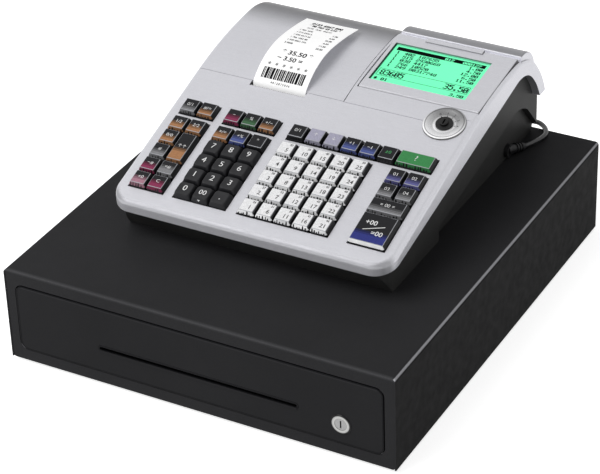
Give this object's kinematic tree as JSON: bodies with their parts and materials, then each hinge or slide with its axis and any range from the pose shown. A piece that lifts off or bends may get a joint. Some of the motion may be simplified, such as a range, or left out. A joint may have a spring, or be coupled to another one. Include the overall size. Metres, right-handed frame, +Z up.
{
  "type": "electronic cash register with cash drawer",
  "caption": "Electronic cash register with keyboard, tilting display, receipt printer and pop-up rear display, on a steel cash drawer unit with a mains lead.",
  "frame": {"origin": "centre of the drawer unit's footprint, on the surface that its feet stand on", "axes": "+X to the operator's right, +Y from the operator to the rear, +Z up"},
  "size_m": [0.41, 0.5483, 0.2211],
  "materials": {
    "case_paint": "fine textured charcoal powder coat",
    "foot_rubber": "moulded black rubber",
    "bright_steel": "zinc plated",
    "sheet_zinc": "galvanised sheet",
    "lock_nickel": "nickel plated",
    "tray_plastic": "fine textured black plastic",
    "switch_silver": "polished silver finish",
    "base_plastic": "textured black plastic",
    "silver_plastic": "metallic silver paint on plastic",
    "lcd": "backlit liquid crystal panel",
    "frame_plastic": "black plastic",
    "mat_rubber": "grey silicone rubber",
    "board": "green printed circuit board",
    "head_ceramic": "glazed ceramic on aluminium",
    "platen_rubber": "ground rubber on a steel shaft",
    "paper": "thermal paper",
    "keycap": "clear caps over coloured inserts",
    "cord_rubber": "black PVC"
  },
  "bodies": {
    "chassis": {"drawer_case": "case_paint", "case_base": "case_paint", "case_front_frame": "case_paint", "case_feet": "foot_rubber", "fasteners": "bright_steel", "case_rails": "sheet_zinc", "latch_solenoid": "sheet_zinc", "eject_spring": "bright_steel", "lower_case": "base_plastic", "upper_case": "silver_plastic", "key_frame": "frame_plastic", "key_mat": "mat_rubber", "keyboard_board": "board", "main_board": "board", "power_transformer": "sheet_zinc", "printer_frame": "sheet_zinc", "thermal_head": "head_ceramic", "tear_bar": "bright_steel", "feed_motor": "sheet_zinc", "mode_switch_ring": "switch_silver", "cord_strain_relief": "cord_rubber", "mains_cord": "cord_rubber", "mains_cord_coil": "cord_rubber", "mains_plug": "cord_rubber"},
    "drawer": {"drawer_front": "case_paint", "drawer_pan": "sheet_zinc", "till_tray": "tray_plastic", "clip_rod": "bright_steel", "lock_barrel": "lock_nickel"},
    "case_rollers": {"case_rollers": "bright_steel"},
    "drawer_rollers": {"drawer_rollers": "bright_steel"},
    "note_clips": {"note_clips": "bright_steel"},
    "lock_plug": {"lock_plug": "bright_steel"},
    "latch_hook": {"latch_hook": "bright_steel"},
    "paper_roll": {"paper_roll": "paper"},
    "platen_roller": {"platen_roller": "platen_rubber"},
    "motor_pinion": {"motor_pinion": "bright_steel"},
    "mode_switch_rotor": {"mode_switch_rotor": "base_plastic"},
    "printer_cover": {"printer_cover": "silver_plastic", "receipt": "paper"},
    "display": {"display_bezel": "silver_plastic", "lcd_panel": "lcd"},
    "customer_display": {"customer_display": "silver_plastic"},
    "function_keys_top": {"function_keys_top": "keycap"},
    "help_key": {"help_key": "keycap"},
    "function_keys_left": {"function_keys_left": "keycap"},
    "receipt_key": {"receipt_key": "keycap"},
    "function_keys_numeric": {"function_keys_numeric": "keycap"},
    "function_keys_right": {"function_keys_right": "keycap"},
    "subtotal_key": {"subtotal_key": "keycap"},
    "cash_key": {"cash_key": "keycap"},
    "number_keys_row_1": {"number_keys_row_1": "keycap"},
    "number_keys_row_2": {"number_keys_row_2": "keycap"},
    "number_keys_row_3": {"number_keys_row_3": "keycap"},
    "number_keys_row_4": {"number_keys_row_4": "keycap"},
    "department_keys_row_1": {"department_keys_row_1": "keycap"},
    "department_keys_row_2": {"department_keys_row_2": "keycap"},
    "department_keys_row_3": {"department_keys_row_3": "keycap"},
    "department_keys_row_4": {"department_keys_row_4": "keycap"},
    "department_keys_row_5": {"department_keys_row_5": "keycap"}
  },
  "joints": [
    {"name": "drawer_slide", "type": "slide", "parent": "chassis", "child": "drawer", "axis": [0, -1, 0], "range_m": [0, 0.36]},
    {"name": "case_roller_spin", "type": "hinge", "parent": "chassis", "child": "case_rollers", "pos_m": [0, -0.2125, 0.04225], "axis": [1, 0, 0], "range_deg": [0, 2580]},
    {"name": "drawer_roller_spin", "type": "hinge", "parent": "drawer", "child": "drawer_rollers", "pos_m": [0, 0.171, 0.04], "axis": [1, 0, 0], "range_deg": [0, 2580]},
    {"name": "note_clips_lift", "type": "hinge", "parent": "drawer", "child": "note_clips", "pos_m": [0, 0.1628, 0.074], "axis": [-1, 0, 0], "range_deg": [0, 14], "stiffness_Nm_per_rad": 0.2, "springref_deg": -11.46},
    {"name": "lock_turn", "type": "hinge", "parent": "drawer", "child": "lock_plug", "pos_m": [0.1504, -0.225, 0.0379], "axis": [0, -1, 0], "range_deg": [0, 90]},
    {"name": "latch_swing", "type": "hinge", "parent": "chassis", "child": "latch_hook", "pos_m": [0, 0.211, 0.062], "axis": [1, 0, 0], "range_deg": [-10, 8]},
    {"name": "paper_roll_spin", "type": "hinge", "parent": "chassis", "child": "paper_roll", "pos_m": [-0.056, 0.15, 0.15], "axis": [1, 0, 0], "continuous": true},
    {"name": "platen_spin", "type": "hinge", "parent": "chassis", "child": "platen_roller", "pos_m": [-0.056, 0.0492, 0.182], "axis": [1, 0, 0], "continuous": true},
    {"name": "pinion_spin", "type": "hinge", "parent": "chassis", "child": "motor_pinion", "pos_m": [-0.0195, 0.05885, 0.17235], "axis": [1, 0, 0], "continuous": true},
    {"name": "mode_switch_turn", "type": "hinge", "parent": "chassis", "child": "mode_switch_rotor", "pos_m": [0.1207, 0.04411, 0.19675], "axis": [0, -0.2974, 0.9548], "range_deg": [-60, 120]},
    {"name": "printer_cover_lift", "type": "hinge", "parent": "chassis", "child": "printer_cover", "pos_m": [-0.067, 0.21864, 0.159], "axis": [-1, 0, 0], "range_deg": [0, 70]},
    {"name": "display_tilt", "type": "hinge", "parent": "chassis", "child": "display", "pos_m": [0.0815, 0.07032, 0.20041], "axis": [1, 0, 0], "range_deg": [0, 35]},
    {"name": "customer_display_rise", "type": "slide", "parent": "chassis", "child": "customer_display", "axis": [0, 0, 1], "range_m": [0, 0.045]},
    {"name": "function_keys_top_press", "type": "slide", "parent": "chassis", "child": "function_keys_top", "axis": [0, 0.2974, -0.9548], "range_m": [0, 0.003], "stiffness_N_per_m": 400, "springref_m": -0.002},
    {"name": "help_key_press", "type": "slide", "parent": "chassis", "child": "help_key", "axis": [0, 0.2974, -0.9548], "range_m": [0, 0.003], "stiffness_N_per_m": 400, "springref_m": -0.002},
    {"name": "function_keys_left_press", "type": "slide", "parent": "chassis", "child": "function_keys_left", "axis": [0, 0.2974, -0.9548], "range_m": [0, 0.003], "stiffness_N_per_m": 400, "springref_m": -0.002},
    {"name": "receipt_key_press", "type": "slide", "parent": "chassis", "child": "receipt_key", "axis": [0, 0.2974, -0.9548], "range_m": [0, 0.003], "stiffness_N_per_m": 400, "springref_m": -0.002},
    {"name": "function_keys_numeric_press", "type": "slide", "parent": "chassis", "child": "function_keys_numeric", "axis": [0, 0.2974, -0.9548], "range_m": [0, 0.003], "stiffness_N_per_m": 400, "springref_m": -0.002},
    {"name": "function_keys_right_press", "type": "slide", "parent": "chassis", "child": "function_keys_right", "axis": [0, 0.2974, -0.9548], "range_m": [0, 0.003], "stiffness_N_per_m": 400, "springref_m": -0.002},
    {"name": "subtotal_key_press", "type": "slide", "parent": "chassis", "child": "subtotal_key", "axis": [0, 0.2974, -0.9548], "range_m": [0, 0.003], "stiffness_N_per_m": 400, "springref_m": -0.002},
    {"name": "cash_key_press", "type": "slide", "parent": "chassis", "child": "cash_key", "axis": [0, 0.2974, -0.9548], "range_m": [0, 0.003], "stiffness_N_per_m": 400, "springref_m": -0.002},
    {"name": "number_keys_row_1_press", "type": "slide", "parent": "chassis", "child": "number_keys_row_1", "axis": [0, 0.2974, -0.9548], "range_m": [0, 0.003], "stiffness_N_per_m": 400, "springref_m": -0.002},
    {"name": "number_keys_row_2_press", "type": "slide", "parent": "chassis", "child": "number_keys_row_2", "axis": [0, 0.2974, -0.9548], "range_m": [0, 0.003], "stiffness_N_per_m": 400, "springref_m": -0.002},
    {"name": "number_keys_row_3_press", "type": "slide", "parent": "chassis", "child": "number_keys_row_3", "axis": [0, 0.2974, -0.9548], "range_m": [0, 0.003], "stiffness_N_per_m": 400, "springref_m": -0.002},
    {"name": "number_keys_row_4_press", "type": "slide", "parent": "chassis", "child": "number_keys_row_4", "axis": [0, 0.2974, -0.9548], "range_m": [0, 0.003], "stiffness_N_per_m": 400, "springref_m": -0.002},
    {"name": "department_keys_row_1_press", "type": "slide", "parent": "chassis", "child": "department_keys_row_1", "axis": [0, 0.2974, -0.9548], "range_m": [0, 0.003], "stiffness_N_per_m": 400, "springref_m": -0.002},
    {"name": "department_keys_row_2_press", "type": "slide", "parent": "chassis", "child": "department_keys_row_2", "axis": [0, 0.2974, -0.9548], "range_m": [0, 0.003], "stiffness_N_per_m": 400, "springref_m": -0.002},
    {"name": "department_keys_row_3_press", "type": "slide", "parent": "chassis", "child": "department_keys_row_3", "axis": [0, 0.2974, -0.9548], "range_m": [0, 0.003], "stiffness_N_per_m": 400, "springref_m": -0.002},
    {"name": "department_keys_row_4_press", "type": "slide", "parent": "chassis", "child": "department_keys_row_4", "axis": [0, 0.2974, -0.9548], "range_m": [0, 0.003], "stiffness_N_per_m": 400, "springref_m": -0.002},
    {"name": "department_keys_row_5_press", "type": "slide", "parent": "chassis", "child": "department_keys_row_5", "axis": [0, 0.2974, -0.9548], "range_m": [0, 0.003], "stiffness_N_per_m": 400, "springref_m": -0.002}
  ],
  "couplings": [
    {"joint": "case_roller_spin", "follows": "drawer_slide", "rad_per_m": 125},
    {"joint": "drawer_roller_spin", "follows": "drawer_slide", "rad_per_m": 125},
    {"joint": "platen_spin", "follows": "paper_roll_spin", "ratio": -5.4286},
    {"joint": "pinion_spin", "follows": "paper_roll_spin", "ratio": 10.857}
  ]
}
